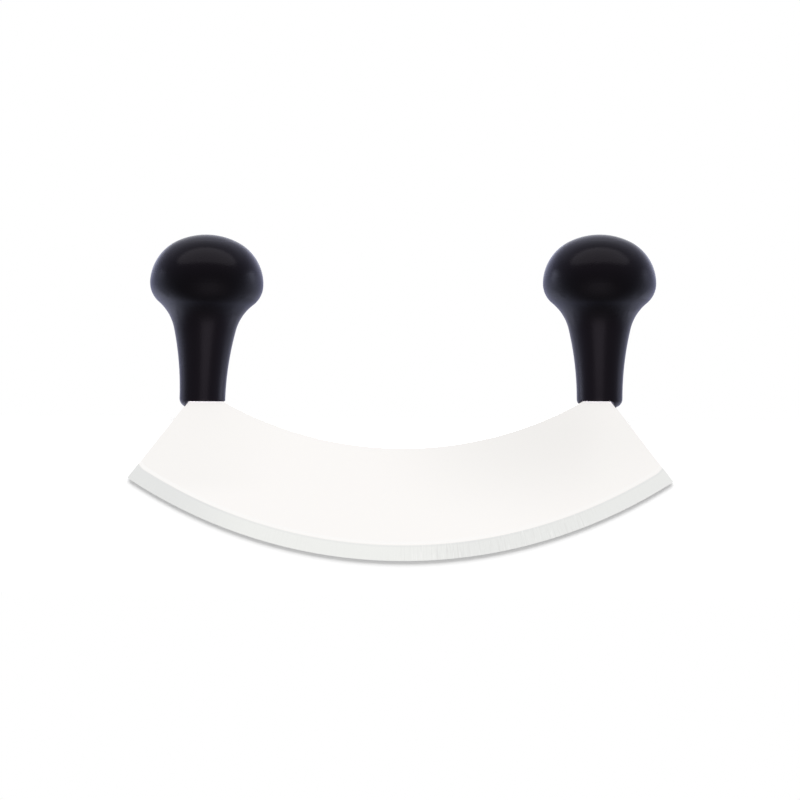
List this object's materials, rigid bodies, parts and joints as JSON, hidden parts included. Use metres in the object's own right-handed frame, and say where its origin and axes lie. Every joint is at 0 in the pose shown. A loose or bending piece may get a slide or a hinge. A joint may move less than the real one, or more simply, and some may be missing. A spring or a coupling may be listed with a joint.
{
  "type": "two-handled mincing knife",
  "caption": "Rocking mincing knife: a wide steel crescent blade with an upright moulded knob handle on each end.",
  "frame": {"origin": "lowest point of the cutting edge, in the blade's middle plane", "axes": "+X along the blade from tip to tip, +Y through its thickness away from the pictured face, +Z from the cutting edge up towards the knobs"},
  "size_m": [0.2616, 0.0544, 0.1575],
  "materials": {
    "blade_steel": "satin ground, with fine grinding lines across the bevel",
    "handle_plastic": "satin black moulded plastic"
  },
  "bodies": {
    "root": {"blade": "blade_steel", "left_handle": "handle_plastic", "right_handle": "handle_plastic"}
  },
  "joints": []
}
